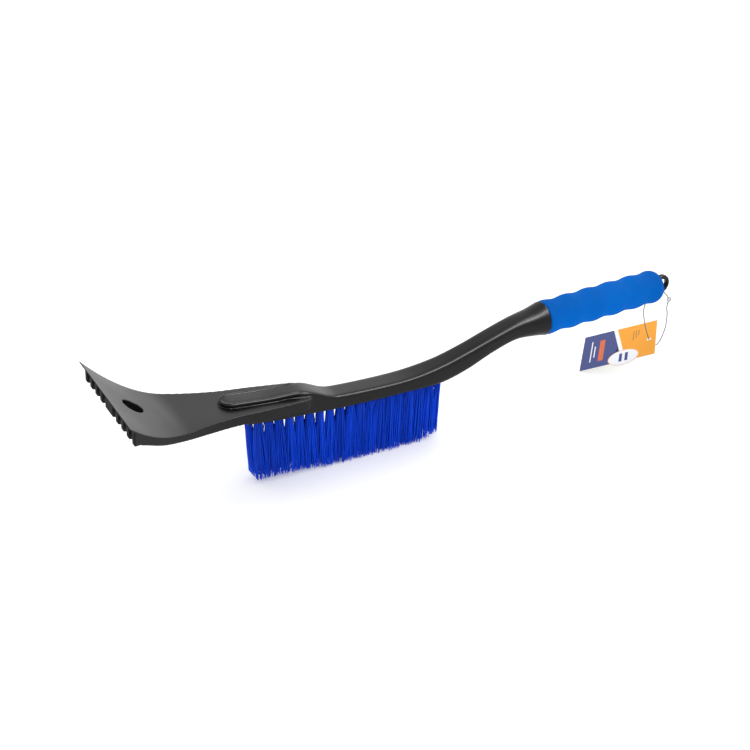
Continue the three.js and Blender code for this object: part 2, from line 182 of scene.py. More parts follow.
def tube(centres, radius, sides=12):
    """A round bar along centres, whose sections turn with the line and never twist about it."""
    centres = np.array(centres, float)
    along = np.gradient(centres, axis=0)
    along /= np.linalg.norm(along, axis=1)[:, None]
    across = np.cross(along[0], np.eye(3)[np.argmin(abs(along[0]))])
    rings = []
    for centre, ahead in zip(centres, along):
        across = across - np.dot(across, ahead) * ahead
        across /= np.linalg.norm(across)
        upright = np.cross(across, ahead)
        rings.append([centre + radius * (math.cos(t) * across + math.sin(t) * upright)
                      for t in full_turn(sides)])
    return loft(rings)


def applied(thing, *modifiers):
    """Adds modifiers, each given as (type, settings), and makes their result the mesh."""
    for kind, settings in modifiers:
        modifier = thing.modifiers.new(kind.lower(), kind)
        for key, value in settings.items():
            setattr(modifier, key, value)
    graph = bpy.context.evaluated_depsgraph_get()
    result = bpy.data.meshes.new_from_object(thing.evaluated_get(graph), depsgraph=graph)
    thing.modifiers.clear()
    old = thing.data
    thing.data = result
    bpy.data.meshes.remove(old)


def cut(thing, cutters):
    """Takes the joined cutters away from thing."""
    tool = make_object("cutter", joined(cutters))
    applied(thing, ("BOOLEAN", {"operation": "DIFFERENCE", "solver": "MANIFOLD", "object": tool}))
    bpy.data.objects.remove(tool)


# ---------------------------------------------------------------- the tag's loop
# The filament's centreline, from the lock up through the ring, down behind the grip's end,
# through the tag's hole from its printed side and back up to the lock.
LOOP_POINTS = [
    (259.6, -3.4, 77.9), (256.6, -4.2, 81.2), (253.2, -4.4, 84.4), (251.8, -2.8, 87.1),
    (251.5, 0, 88.2), (251.4, 2.8, 87.1), (251.0, 4.6, 84.2), (249.2, 6.9, 78.6),
    (244.4, 7.4, 71.4), (242.6, 6.8, 65.0), (244.2, 6.8, 57.2), (248.4, 8.0, 47.6),
    (254.6, 11.6, 38.4), (259.8, 14.3, 31.2), (261.4, 13.4, 27.1), (262.4, 11.6, 24.0),
    (263.6, 8.8, 23.0), (264.6, 5.8, 25.0), (265.2, 3.4, 30.4), (265.2, 0.6, 39.6),
    (263.6, -2.2, 49.0), (262.2, -3.0, 60.0), (260.2, -3.0, 68.6), (260.6, -3.0, 72.6),
]
LOOP_DIAMETER = 1.0
LOCK_CENTRE = np.array((261.4, -3.0, 75.6))
LOCK_RING = 1.7
LOCK_WALL = 0.6
LOCK_STRETCH = 1.3
NECK_RADIUS = 0.8
# A neck's start and end, as shares of the way from the lock's centre to the filament's end.
NECK_REACH = (0.52, 1.1)


def make_lock():
    """A moulded ring, and a neck from it round each end of the filament."""
    rings = []
    for turn in full_turn(48):
        out = np.array((math.cos(turn), 0, math.sin(turn)))
        rings.append([LOCK_CENTRE + out * (LOCK_RING + LOCK_WALL * math.cos(t))
                      + np.array((0, LOCK_STRETCH * LOCK_WALL * math.sin(t), 0))
                      for t in full_turn(20)])
    necks = [
        tube([LOCK_CENTRE * (1 - t) + np.array(end) * t for t in np.linspace(*NECK_REACH, 5)],
             NECK_RADIUS)
        for end in (LOOP_POINTS[0], LOOP_POINTS[-1])
    ]
    return make_object("filament_lock", joined([loft(rings, closed=True), *necks]))


loop_centres = round_line(LOOP_POINTS)
filament_loop = make_object("filament_loop", tube(loop_centres, LOOP_DIAMETER / 2))
filament_lock = make_lock()
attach(filament_loop, "tag")
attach(filament_lock, "tag")
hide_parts("tag_loop")
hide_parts("loop_lock")


# ---------------------------------------------------------------- materials
class Nodes:
    """The node tree of a material or a world, written as sums of sockets."""

    def __init__(self, owner):
        owner.use_nodes = True
        self.owner = owner
        self.tree = owner.node_tree

    def add(self, kind, inputs=(), **settings):
        node = self.tree.nodes.new(kind)
        for key, value in settings.items():
            setattr(node, key, value)
        for key, value in dict(inputs).items():
            self.feed(node.inputs[key], value)
        return node

    def feed(self, socket, value):
        if isinstance(value, bpy.types.NodeSocket):
            self.tree.links.new(value, socket)
        else:
            socket.default_value = value

    def math(self, operation, *values):
        return self.add("ShaderNodeMath", enumerate(values), operation=operation).outputs[0]

    def place(self):
        return self.add("ShaderNodeTexCoord").outputs["Object"]

    def stretched(self, scale):
        """Object coordinates, scaled along each axis."""
        return self.add("ShaderNodeMapping", {"Vector": self.place(), "Scale": scale}).outputs[0]

    def noise(self, where, scale, detail):
        inputs = {"Vector": where, "Scale": scale, "Detail": detail}
        return self.add("ShaderNodeTexNoise", inputs).outputs["Fac"]

    def cells(self, where, scale):
        inputs = {"Vector": where, "Scale": scale}
        return self.add("ShaderNodeTexVoronoi", inputs).outputs["Distance"]

    def between(self, value, low, high, to_low, to_high):
        inputs = {"Value": value, "From Min": low, "From Max": high,
                  "To Min": to_low, "To Max": to_high}
        return self.add("ShaderNodeMapRange", inputs).outputs[0]

    def mix(self, factor, first, second):
        node = self.add("ShaderNodeMix", data_type="RGBA")
        for index, value in ((0, factor), (6, first), (7, second)):
            self.feed(node.inputs[index], value)
        return node.outputs[2]

    def bump(self, height, distance, strength, under=None):
        inputs = {"Height": height, "Distance": distance * MM, "Strength": strength}
        node = self.add("ShaderNodeBump", inputs)
        if under:
            self.feed(node.inputs["Normal"], under)
        return node.outputs[0]

    def finish(self, **values):
        names = {"colour": "Base Color", "roughness": "Roughness", "normal": "Normal",
                 "ior": "IOR", "metallic": "Metallic", "transmission": "Transmission Weight",
                 "specular": "Specular IOR Level", "glow": "Emission Strength"}
        for key, value in values.items():
            self.feed(self.tree.nodes["Principled BSDF"].inputs[names[key]], value)
        return self.owner


def black_plastic(name, matte, specular):
    """Moulded plastic: a fine spark-eroded grain, flow streaks and a few faint scuffs.

    matte is added to its roughness."""
    n = Nodes(bpy.data.materials.new(name))
    grain = n.noise(n.place(), 2600, 2)
    streaks = n.noise(n.stretched((9, 70, 70)), 1.0, 4)
    clouds = n.noise(n.place(), 28, 3)
    scuffs = n.noise(n.stretched((260, 2100, 900)), 1.0, 1)
    scuffed = n.between(scuffs, 0.72, 0.80, 0.0, 1.0)
    shade = n.math("MULTIPLY_ADD", streaks, 0.5, n.math("MULTIPLY", clouds, 0.5))
    colour = n.mix(n.between(shade, 0.3, 0.7, 0, 1), (0.0024, 0.0023, 0.0026, 1),
                   (0.0045, 0.0044, 0.0050, 1))
    colour = n.mix(n.math("MULTIPLY", scuffed, 0.3), colour, (0.03, 0.03, 0.031, 1))
    roughness = n.math("ADD", n.between(clouds, 0.3, 0.7, 0.28 + matte, 0.36 + matte),
                       n.math("MULTIPLY", scuffed, 0.12))
    normal = n.bump(grain, 0.035, 0.35, n.bump(streaks, 0.12, 0.12))
    return n.finish(colour=colour, roughness=roughness, normal=normal, specular=specular)


def blue_foam():
    """Closed-cell foam: a skin of fine open pores, darkened inside by painted shade, over a soft
    mottle.
    """
    n = Nodes(bpy.data.materials.new("blue_foam"))
    pores = n.cells(n.place(), 1500)
    mottle = n.noise(n.place(), 120, 4)
    clouds = n.noise(n.place(), 22, 2)
    deep, light = (0.0, 0.093, 0.42, 1), (0.0, 0.135, 0.56, 1)
    colour = n.mix(n.between(clouds, 0.3, 0.7, 0.1, 0.9), deep, light)
    # Painted shade: darker at the pore centres, where the pits lie in shade.
    colour = n.mix(n.between(pores, 0.0, 0.22, 0.35, 0.0), colour, (0.0, 0.048, 0.27, 1))
    normal = n.bump(pores, 0.16, 0.45, n.bump(mottle, 0.25, 0.3))
    roughness = n.between(mottle, 0.3, 0.7, 0.72, 0.86)
    return n.finish(colour=colour, roughness=roughness, normal=normal, specular=0.03)


def blue_bristle():
    """Extruded bristles, each with its own shade, paler in random lengthwise streaks, and darkened
    by painted shade towards their roots under the block.
    """
    n = Nodes(bpy.data.materials.new("blue_bristle"))
    # The shade attribute carries each bristle's own shade times the painted shade at its root.
    shade = n.add("ShaderNodeAttribute", attribute_name="shade").outputs["Fac"]
    along = n.noise(n.stretched((900, 900, 60)), 1.0, 2)
    colour = n.mix(shade, (0.0, 0.031, 0.43, 1), (0.0, 0.079, 0.87, 1))
    colour = n.mix(n.between(along, 0.55, 0.8, 0, 0.35), colour, (0.0, 0.115, 0.95, 1))
    return n.finish(colour=colour, roughness=n.between(along, 0.3, 0.7, 0.34, 0.48),
                    specular=0.14)


def clear_nylon(name, grey):
    """Milky nylon with tiny inclusions, as pale as grey says."""
    n = Nodes(bpy.data.materials.new(name))
    haze = n.noise(n.place(), 900, 3)
    colour = n.mix(n.between(haze, 0.3, 0.7, 0, 1), (grey, grey, grey, 1),
                   (1.3 * grey, 1.3 * grey, 1.32 * grey, 1))
    normal = n.bump(n.noise(n.place(), 2400, 2), 0.03, 0.3)
    return n.finish(colour=colour, roughness=n.between(haze, 0.3, 0.7, 0.18, 0.32),
                    normal=normal, transmission=0.1, ior=1.53, specular=0.12)


def wire_metal():
    """Drawn and flattened wire, with lengthwise draw marks."""
    n = Nodes(bpy.data.materials.new("wire_metal"))
    marks = n.noise(n.stretched((400, 400, 4200)), 1.0, 3)
    colour = n.mix(n.between(marks, 0.3, 0.7, 0, 1), (0.42, 0.42, 0.43, 1), (0.6, 0.6, 0.61, 1))
    return n.finish(colour=colour, metallic=1.0, roughness=n.between(marks, 0.3, 0.7, 0.25, 0.4),
                    normal=n.bump(marks, 0.02, 0.4))


# The card lies in a plane: u runs from its blank end to its hole, v from its far long edge to
# its near one.
TAG_CORNER = (243.2, 79.2, 0.5)
TAG_HEADING = -0.736
TAG_TILT = 0.432
TAG_PRINT_EDGE = 0.12
# The white band starts and ends at these u where v is 0, and slants by this much u for each v.
TAG_BAND = (28.3, 31.9)
TAG_BAND_SLANT = 0.167
# The navy corner starts at this v, and its edge leans away from the band.
TAG_NAVY_V = 34.0
TAG_NAVY_LEAN = 0.30
TAG_BADGE = (40.6, 60.0)
TAG_BADGE_RADIUS = 14.5
TAG_BADGE_LINE = 0.7
# Plain bars in place of print, each from u to u and from v to v.
TAG_WIDE_BAR = (16.2, 21.0, 15, 56)
TAG_WHITE_BARS = [(11.4, 12.4, 25, 47), (8.2, 9.2, 14, 55)]
TAG_BROWN_BARS = [(48.0 + 2.4 * i, 48.8 + 2.4 * i, 12, 31 - 4 * i) for i in range(3)]
TAG_BADGE_BARS = [(36.6, 39.4, 52, 67.5), (42.0, 44.8, 52, 67.5)]


def printed_card():
    """Coated card in two print colours with a slanted white band, plain bars and a round badge."""
    n = Nodes(bpy.data.materials.new("printed_card"))
    turn = (0, -TAG_TILT, TAG_HEADING)
    corner = tuple(value * MM for value in TAG_CORNER)
    flat = n.add("ShaderNodeMapping", {"Vector": n.place(), "Location": corner,
                                       "Rotation": turn, "Scale": (MM, MM, MM)},
                 vector_type="TEXTURE")
    axes = n.add("ShaderNodeSeparateXYZ", {"Vector": flat.outputs[0]})
    u = axes.outputs["X"]
    v = n.math("MULTIPLY", axes.outputs["Y"], -1.0)

    def after(value, start):
        """0 before start and 1 past it, over a printed edge's width."""
        past = n.math("SUBTRACT", value, start)
        return n.between(past, -TAG_PRINT_EDGE, TAG_PRINT_EDGE, 0, 1)

    def both(*masks):
        result = masks[0]
        for mask in masks[1:]:
            result = n.math("MULTIPLY", result, mask)
        return result

    def box(u0, u1, v0, v1):
        beyond = [after(u, u1), after(v, v1)]
        outside = [n.math("SUBTRACT", 1.0, mask) for mask in beyond]
        return both(after(u, u0), after(v, v0), *outside)

    def disc(centre, radius):
        sides = [n.math("SUBTRACT", axis, at) for axis, at in zip((u, v), centre)]
        squares = [n.math("MULTIPLY", side, side) for side in sides]
        away = n.math("SQRT", n.math("ADD", *squares))
        return n.math("SUBTRACT", 1.0, after(away, radius))

    slant = n.math("MULTIPLY", v, TAG_BAND_SLANT)
    low, high = (n.math("ADD", slant, start) for start in TAG_BAND)
    leant = n.math("MULTIPLY", n.math("SUBTRACT", v, TAG_NAVY_V), TAG_NAVY_LEAN)
    navy_start = n.math("SUBTRACT", low, leant)
    orange, violet = (0.86, 0.34, 0.016, 1), (0.044, 0.062, 0.21, 1)
    navy, white = (0.010, 0.018, 0.11, 1), (0.84, 0.85, 0.86, 1)
    tangerine, brown = (0.66, 0.13, 0.04, 1), (0.30, 0.17, 0.05, 1)
    amber, blue = (0.80, 0.36, 0.12, 1), (0.03, 0.045, 0.22, 1)
    colour = n.mix(both(after(u, navy_start), after(v, TAG_NAVY_V)), violet, navy)
    colour = n.mix(after(u, low), colour, white)
    colour = n.mix(after(u, high), colour, orange)
    layers = [(box(*TAG_WIDE_BAR), tangerine)]
    layers += [(box(*bar), white) for bar in TAG_WHITE_BARS]
    layers += [(box(*bar), brown) for bar in TAG_BROWN_BARS]
    layers += [(disc(TAG_BADGE, TAG_BADGE_RADIUS), amber),
               (disc(TAG_BADGE, TAG_BADGE_RADIUS - TAG_BADGE_LINE), white)]
    layers += [(box(*bar), blue) for bar in TAG_BADGE_BARS]
    for mask, ink in layers:
        colour = n.mix(mask, colour, ink)
    fibre = n.noise(n.place(), 700, 4)
    upright = Matrix.Rotation(TAG_HEADING, 3, "Z") @ Matrix.Rotation(-TAG_TILT, 3, "Y")
    facing = n.add("ShaderNodeVectorMath", operation="DOT_PRODUCT")
    n.feed(facing.inputs[0], n.add("ShaderNodeTexCoord").outputs["Normal"])
    n.feed(facing.inputs[1], tuple(upright @ Vector((0, 0, 1))))
    printed = n.between(facing.outputs["Value"], 0.3, 0.6, 0, 1)
    plain = n.mix(n.between(fibre, 0.3, 0.7, 0, 1), (0.70, 0.69, 0.66, 1), (0.80, 0.79, 0.76, 1))
    worn = n.between(fibre, 0.62, 0.82, 0.0, 0.06)
    colour = n.mix(printed, plain, n.mix(worn, colour, white))
    return n.finish(colour=colour, roughness=n.between(fibre, 0.3, 0.7, 0.38, 0.5),
                    normal=n.bump(fibre, 0.05, 0.2), specular=0.1)


PLASTIC = black_plastic("black_plastic", 0.0, 0.2)
MATTE_PLASTIC = black_plastic("black_plastic_matte", 0.2, 0.04)
FOAM = blue_foam()
BRISTLE = blue_bristle()
FILAMENT = clear_nylon("clear_filament", 0.2)
LOCK = clear_nylon("clear_lock", 0.4)
METAL = wire_metal()
CARD = printed_card()

for thing, nylon in ((filament_loop, FILAMENT), (filament_lock, LOCK)):
    thing.data.materials.append(nylon)
hang_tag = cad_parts["hang_tag"]
hang_tag.data.materials.clear()
hang_tag.data.materials.append(CARD)


# ---------------------------------------------------------------- the moulding: blade
BLADE_FRONT_X = -260
BLADE_BACK_X = -99
# The blade's top falls evenly from its height at one x, and sweeps up in front of the bend.
BLADE_LEVEL_X = -200
BLADE_LEVEL = 77.4
BLADE_FALL = 0.071
BLADE_BEND_X = -205
BLADE_SWEEP = 0.00856
BLADE_THICKNESS = 3.8
BLADE_LIP = 1.3
BLADE_LIP_LENGTH = 14
BLADE_CROWN = 1.8
SKIRT_FRONT_X = -251
SKIRT_THICKNESS = 2.6
SKIRT_SUNK = 0.3
TOOTH_PITCH = 10.6
TOOTH_WIDTH = 5.3
TEETH_PER_SIDE = 4
TOOTH_TIP = (-256.6, 91.2)
TOOTH_BACK_X = -231
TOOTH_LEAST_WIDTH = 0.2
TOOTH_LEAST_HEIGHT = 0.1
SCRAPING_END_X = -205
RIB_FRONT_X = -246
RIB_FOOT_FRONT_X = -240
RIB_BACK_X = -150
RIB_DEPTH = 8
RIB_HALF_THICKNESS = 1.2
RIB_PLACES = (15, -15)
BLADE_HOLE_X = -238.8
BLADE_HOLE_RADIUS = 8.4
HOLE_CUT_REACH = 20
HOLE_SIDES = 64
BOSS_WALL = 1.8
BOSS_SUNK = 2
BOSS_REACH = 10

blade_half = smooth_line([(BLADE_FRONT_X, 52), (-240, 43.6), (-215, 33.4), (-190, 25.4),
                          (-165, 20.6), (-140, 18.8), (-113, 16.0),
                          (-105, 15.2), (-101, 13.6), (BLADE_BACK_X, 9.6)])
skirt_foot = smooth_line([(BLADE_FRONT_X, 93), (-250, 88.8), (-230, 78.4), (-210, 72.4),
                          (-190, 69.0), (-165, 66.6), (-140, 64.4), (BLADE_BACK_X, 61.2)])
# The plate is a little domed round its hole, and flat at its front edge and along the neck.
crown = smooth_line([(BLADE_FRONT_X, 0), (-246, 0.8), (-236, 1), (-220, 0.7), (-196, 0),
                     (-100, 0)])


def blade_top(x):
    sweep = np.maximum(0, BLADE_BEND_X - x)
    return BLADE_LEVEL - BLADE_FALL * (x - BLADE_LEVEL_X) + BLADE_SWEEP * sweep ** 2


def blade_plate():
    rings = []
    for x in np.linspace(BLADE_FRONT_X, BLADE_BACK_X, 103):
        share = np.linspace(-1, 1, 49)
        top = blade_top(x) + BLADE_CROWN * crown(x) * (1 - share ** 2)
        from_edge = min(1, (x - BLADE_FRONT_X) / BLADE_LIP_LENGTH)
        foot = top - (BLADE_LIP + (BLADE_THICKNESS - BLADE_LIP) * from_edge)
        across = share * blade_half(x)
        upper = [(x, y, z) for y, z in zip(across, top)]
        lower = [(x, y, z) for y, z in zip(across, foot)]
        rings.append(upper + lower[::-1])
    return loft(rings)


def skirt(side):
    rings = []
    for x in np.linspace(SKIRT_FRONT_X, BLADE_BACK_X, 97):
        outer, top, foot = blade_half(x), blade_top(x) - SKIRT_SUNK, skirt_foot(x)
        inner = outer - SKIRT_THICKNESS
        corners = [(outer, top), (outer, foot), (inner, foot), (inner, top)]
        rings.append([(x, side * y, z) for y, z in corners])
    return loft(rings)


def tooth(middle, width):
    """A wedge from the lip's underside down to its tip, no wider than the blade is there."""
    side = -1 if middle < 0 else 1
    inner, outer = abs(middle) - width / 2, abs(middle) + width / 2
    roof_at_back = blade_top(TOOTH_BACK_X) - BLADE_LIP / 2
    rings = []
    for x in np.linspace(TOOTH_TIP[0], TOOTH_BACK_X, 34):
        edge = min(outer, blade_half(x))
        if edge <= inner + TOOTH_LEAST_WIDTH:
            break
        share = (x - TOOTH_TIP[0]) / (TOOTH_BACK_X - TOOTH_TIP[0])
        foot = TOOTH_TIP[1] + (roof_at_back - TOOTH_TIP[1]) * share
        roof = max(blade_top(x) - BLADE_LIP / 2, foot + TOOTH_LEAST_HEIGHT)
        corners = [(inner, foot), (edge, foot), (edge, roof), (inner, roof)]
        rings.append([(x, side * y, z) for y, z in corners])
    return loft(rings)


def stiffening_rib(y):
    roof = [(x, blade_top(x) - BLADE_THICKNESS / 2)
            for x in np.linspace(RIB_BACK_X, RIB_FRONT_X, 40)]
    foot = [(x, blade_top(x) - RIB_DEPTH) for x in np.linspace(RIB_FOOT_FRONT_X, RIB_BACK_X, 40)]
    return prism_xz([*roof, *foot], y - RIB_HALF_THICKNESS, y + RIB_HALF_THICKNESS)


def cylinder(radius, place, lean, above, below, sides=40):
    """A cylinder along its own Z about place, leant about Y."""
    across = np.array((math.cos(lean), 0, -math.sin(lean)))
    sideways = np.array((0, 1, 0))
    up = np.array((math.sin(lean), 0, math.cos(lean)))
    rings = [
        [np.array(place) + h * up + radius * (math.cos(t) * across + math.sin(t) * sideways)
         for t in full_turn(sides)]
        for h in (-below, above)
    ]
    return loft(rings)


def blade():
    """The solids that the hanging hole has been cut through, and the blade's other solids."""
    lean = math.atan(BLADE_FALL + 2 * BLADE_SWEEP * (BLADE_BEND_X - BLADE_HOLE_X))
    middle = (BLADE_HOLE_X, 0, blade_top(BLADE_HOLE_X) + BLADE_CROWN)
    plate = make_object("plate", blade_plate())
    middle_tooth = make_object("middle_tooth", tooth(0, TOOTH_PITCH + TOOTH_WIDTH))
    # The boss starts inside the plate and reaches down round the hole.
    boss = make_object("boss", cylinder(BLADE_HOLE_RADIUS + BOSS_WALL, middle, lean,
                                        -BOSS_SUNK, BOSS_REACH, HOLE_SIDES))
    holed = [plate, middle_tooth, boss]
    for solid in holed:
        cut(solid, [cylinder(BLADE_HOLE_RADIUS, middle, lean, HOLE_CUT_REACH, HOLE_CUT_REACH,
                             HOLE_SIDES)])
    teeth = []
    for i in range(1, TEETH_PER_SIDE + 1):
        away = (i + 0.5) * TOOTH_PITCH
        teeth += [tooth(away, TOOTH_WIDTH), tooth(-away, TOOTH_WIDTH)]
    ribs = [stiffening_rib(y) for y in RIB_PLACES]
    return holed, [skirt(1), skirt(-1), *teeth, *ribs]


# ---------------------------------------------------------------- the moulding: tongue and shaft
TONGUE_NOSE_X = -172
TONGUE_NOSE_LENGTH = 10
# Under 1, so that the nose starts as a narrow face and not as a line.
TONGUE_NOSE_ROUNDING = 0.97
TONGUE_END_X = -80
TONGUE_HALF = 9.2
TONGUE_FOOT = 60
TONGUE_SQUARENESS = 6
TONGUE_RIM = 1.7
TONGUE_RIM_PROUD = 0.1
TONGUE_RIM_FADE = (-112, -98)
TONGUE_RIM_SUNK = 1.6
# The dished middle lies lower than the rim, and ends inside it.
TONGUE_DISH = 0.5
TONGUE_DISH_INSET = (1.2, 1.3)
tongue_top = smooth_line([(TONGUE_NOSE_X, 77.6), (-165, 78.6), (-135, 76), (-112, 75.2),
                          (-100, 73.2), (-90, 68.8), (TONGUE_END_X, 62.5)])

GRIP_START_X = 122.8
GRIP_HEIGHT = 85.2
GRIP_TILT = 0.0516
TILT_START_X = 90
SECTION_POINTS = 88
SHAFT_SECTIONS = [
    # x, top, foot, half width at the top, half width at the foot, squareness
    (-153, 71.6, 58.4, 11.0, 11.8, 8),
    (-125, 69.6, 55.4, 11.0, 11.6, 8),
    (-104, 66.8, 54.0, 10.2, 11.4, 7),
    (-80, 64.2, 52.6, 9.6, 11.0, 7),
    (-45, 62.6, 51.6, 9.6, 10.8, 7),
    (-10, 62.9, 51.6, 9.6, 10.8, 7),
    (20, 67.4, 51.0, 9.4, 10.2, 5),
    (45, 74.6, 56.6, 9.4, 9.6, 4),
    (70, 83.2, 67.2, 9.6, 9.6, 3.6),
    (92, 90.5, 73.8, 10.2, 10.2, 3),
    (110, 95.0, 73.0, 12.2, 12.2, 2.4),
    (GRIP_START_X, 99.8, 70.6, 14.6, 14.6, 2),
]
HUMP_START_X = -119
HUMP_FULL_X = -99
HUMP_END_X = -70
HUMP_START_HALF = 7.6
HUMP_SUNK = 0.1
HUMP_BLEND = 2.2


def squared(value, exponent):
    """A cosine or sine, bent towards the corners of a square by an exponent under 1."""
    return np.sign(value) * np.abs(value) ** exponent


def section(x, top, foot, top_half, foot_half, squareness, tilt=0.0):
    """A rounded box across the shaft, squarer with more squareness, leaning back by tilt."""
    turns = 2 * math.pi * (np.arange(SECTION_POINTS) + 0.5) / SECTION_POINTS
    across = squared(np.cos(turns), 2 / squareness)
    up = squared(np.sin(turns), 2 / squareness)
    half = foot_half + (top_half - foot_half) * (up + 1) / 2
    rise = up * (top - foot) / 2
    return np.stack([x - rise * tilt, across * half, (top + foot) / 2 + rise], axis=1)


def tongue():
    from_nose, from_side = TONGUE_DISH_INSET
    rings = []
    for x in np.linspace(TONGUE_NOSE_X + from_nose, TONGUE_RIM_FADE[1], 90):
        into_nose = max(0, 1 - (x - TONGUE_NOSE_X) / TONGUE_NOSE_LENGTH)
        rounded = math.sqrt(1 - (TONGUE_NOSE_ROUNDING * into_nose) ** 2)
        half = (TONGUE_HALF - from_side) * rounded
        rings.append(section(x, tongue_top(x) - TONGUE_DISH, TONGUE_FOOT, half, half,
                             TONGUE_SQUARENESS))
    return loft(rings)


def tongue_rim():
    """The rounded rim along both edges of the tongue and round its nose."""
    centre_x = TONGUE_NOSE_X + TONGUE_NOSE_LENGTH
    side = TONGUE_HALF - TONGUE_RIM
    straight = np.linspace(TONGUE_RIM_FADE[1], centre_x, 50)
    turns = np.linspace(-math.pi / 2, math.pi / 2, 28)[1:-1]
    plan = [(x, -side) for x in straight]
    plan += [(centre_x - (TONGUE_NOSE_LENGTH - TONGUE_RIM) * math.cos(t), side * math.sin(t))
             for t in turns]
    plan += [(x, side) for x in straight[::-1]]
    sunk = np.interp([x for x, _ in plan], TONGUE_RIM_FADE, (0, TONGUE_RIM_SUNK))
    return tube([(x, y, tongue_top(x) - TONGUE_RIM + TONGUE_RIM_PROUD - drop)
                 for (x, y), drop in zip(plan, sunk)], TONGUE_RIM, 18)


def with_hump(x, top, top_half):
    """The shaft's top and its half width, raised to carry the tongue down into the shaft.

    The hump starts hidden in the tongue, and widens until it takes over from it."""
    if x < HUMP_START_X:
        return top, top_half
    grown = eased(x, HUMP_START_X, HUMP_FULL_X)
    hump = tongue_top(x) if x < TONGUE_END_X else tongue_top(TONGUE_END_X) - (x - TONGUE_END_X)
    hump -= (TONGUE_DISH + HUMP_SUNK) * (1 - grown)
    higher, lower = max(top, hump), min(top, hump)
    blended = higher + HUMP_BLEND * math.log1p(math.exp((lower - higher) / HUMP_BLEND)) * grown
    return blended, HUMP_START_HALF + (top_half - HUMP_START_HALF) * grown


def shaft():
    lines = [smooth_line([(row[0], row[k]) for row in SHAFT_SECTIONS]) for k in range(1, 6)]
    stations = np.concatenate([np.linspace(SHAFT_SECTIONS[0][0], HUMP_START_X - 0.01, 40),
                               np.linspace(HUMP_START_X, HUMP_END_X, 60),
                               np.linspace(HUMP_END_X + 2, GRIP_START_X, 120)])
    rings = []
    for x in stations:
        top, foot, top_half, foot_half, squareness = (line(x) for line in lines)
        top, top_half = with_hump(x, top, top_half)
        rings.append(section(x, top, foot, top_half, foot_half, squareness,
                             tilt=GRIP_TILT * eased(x, TILT_START_X, GRIP_START_X)))
    return loft(rings)


# ---------------------------------------------------------------- the moulding: core and ring
CORE_RADIUS = 8.4
CORE_LENGTH = 122.6
CORE_RIB = 3
CORE_WEBS = 4
CORE_WEB_HALF = 1
CORE_CAP = 2.4
CORE_SUNK = 2
RING_END_X = 259.3
RING_SUNK = 2
RING_HALF_THICKNESS = 2.4
RING_HALF_HEIGHT = 8.8
RING_HOLE_HALF_HEIGHT = 4.9
RING_HOLE_GAP = 0.4
RING_WALL = 3.1
RING_ROUNDING = 0.6


def on_grip_axis(solid):
    """Moves a solid that is drawn along +X from the origin onto the grip's tilted axis."""
    points, faces = solid
    angle = math.atan(GRIP_TILT)
    x, y, z = np.asarray(points, float).T
    turned = [x * math.cos(angle) - z * math.sin(angle) + GRIP_START_X, y,
              x * math.sin(angle) + z * math.cos(angle) + GRIP_HEIGHT]
    return np.stack(turned, axis=1), faces


def disc_along_x(radius, x0, x1):
    return loft([[(x, radius * math.cos(t), radius * math.sin(t)) for t in full_turn(64)]
                 for x in (x0, x1)])


def bar_along_x(x0, x1, depth, height):
    corners = [(-1, -1), (1, -1), (1, 1), (-1, 1)]
    return loft([[(x, sy * depth / 2, sz * height / 2) for sy, sz in corners] for x in (x0, x1)])


def core():
    """Two crossed ribs that start inside the shaft, with round webs and a round cap."""
    reach = 2 * math.sqrt(CORE_RADIUS ** 2 - (CORE_RIB / 2) ** 2)
    parts = [bar_along_x(-CORE_SUNK, CORE_LENGTH - 1, CORE_RIB, reach),
             bar_along_x(-CORE_SUNK, CORE_LENGTH - 1, reach, CORE_RIB),
             disc_along_x(CORE_RADIUS, CORE_LENGTH - CORE_CAP, CORE_LENGTH)]
    for i in range(1, CORE_WEBS + 1):
        x = CORE_LENGTH * i / (CORE_WEBS + 1)
        parts.append(disc_along_x(CORE_RADIUS, x - CORE_WEB_HALF, x + CORE_WEB_HALF))
    return parts


def ring():
    """An upright D-shaped eye with rounded edges, its hole across the tool."""
    end = RING_END_X - GRIP_START_X
    start = CORE_LENGTH - RING_SUNK
    hole_start, hole_end = CORE_LENGTH + RING_HOLE_GAP, end - RING_WALL
    hole_middle, hole_reach = (hole_start + hole_end) / 2, (hole_end - hole_start) / 2
    rings = []
    for t in full_turn(120):
        inner = np.array((hole_middle + hole_reach * math.cos(t),
                          RING_HOLE_HALF_HEIGHT * math.sin(t)))
        reach = end - hole_middle if math.cos(t) > 0 else hole_middle - start
        outer = np.array((hole_middle + reach * math.cos(t), RING_HALF_HEIGHT * math.sin(t)))
        middle, half = (inner + outer) / 2, (outer - inner) / 2
        loop = []
        for s in full_turn(28):
            x, z = middle + half * squared(math.cos(s), RING_ROUNDING)
            loop.append((x, RING_HALF_THICKNESS * squared(math.sin(s), RING_ROUNDING), z))
        rings.append(loop)
    return loft(rings, closed=True)


# ---------------------------------------------------------------- brush places
TUFT_PITCH = 9
TUFTS_PER_ROW = 19
FIRST_TUFT_X = -142.4
TUFT_ROWS = [("front", FIRST_TUFT_X, -4.6), ("back", FIRST_TUFT_X - TUFT_PITCH / 2, 4.6)]
TUFT_ROOT_RADIUS = 2.8
TUFT_HOLE_DEPTH = 8
TUFT_HOLE_GAP = 0.3
HOLE_CUT_BELOW = 6
# Tufts on the blade's side of this x lean towards it, by this angle at the span's far end.
TUFT_LEAN_START_X = -60
TUFT_LEAN_SPAN = 85
TUFT_LEAN = 0.08
BLOCK_FOOT = 51.6
BLOCK_RISE_START_X = -80
BLOCK_RISE = (0.045, 0.0005)


def block_underside(x):
    """The block's lower face, level and then rising more and more towards the blade."""
    ahead = max(0, BLOCK_RISE_START_X - x)
    return BLOCK_FOOT + BLOCK_RISE[0] * ahead + BLOCK_RISE[1] * ahead ** 2


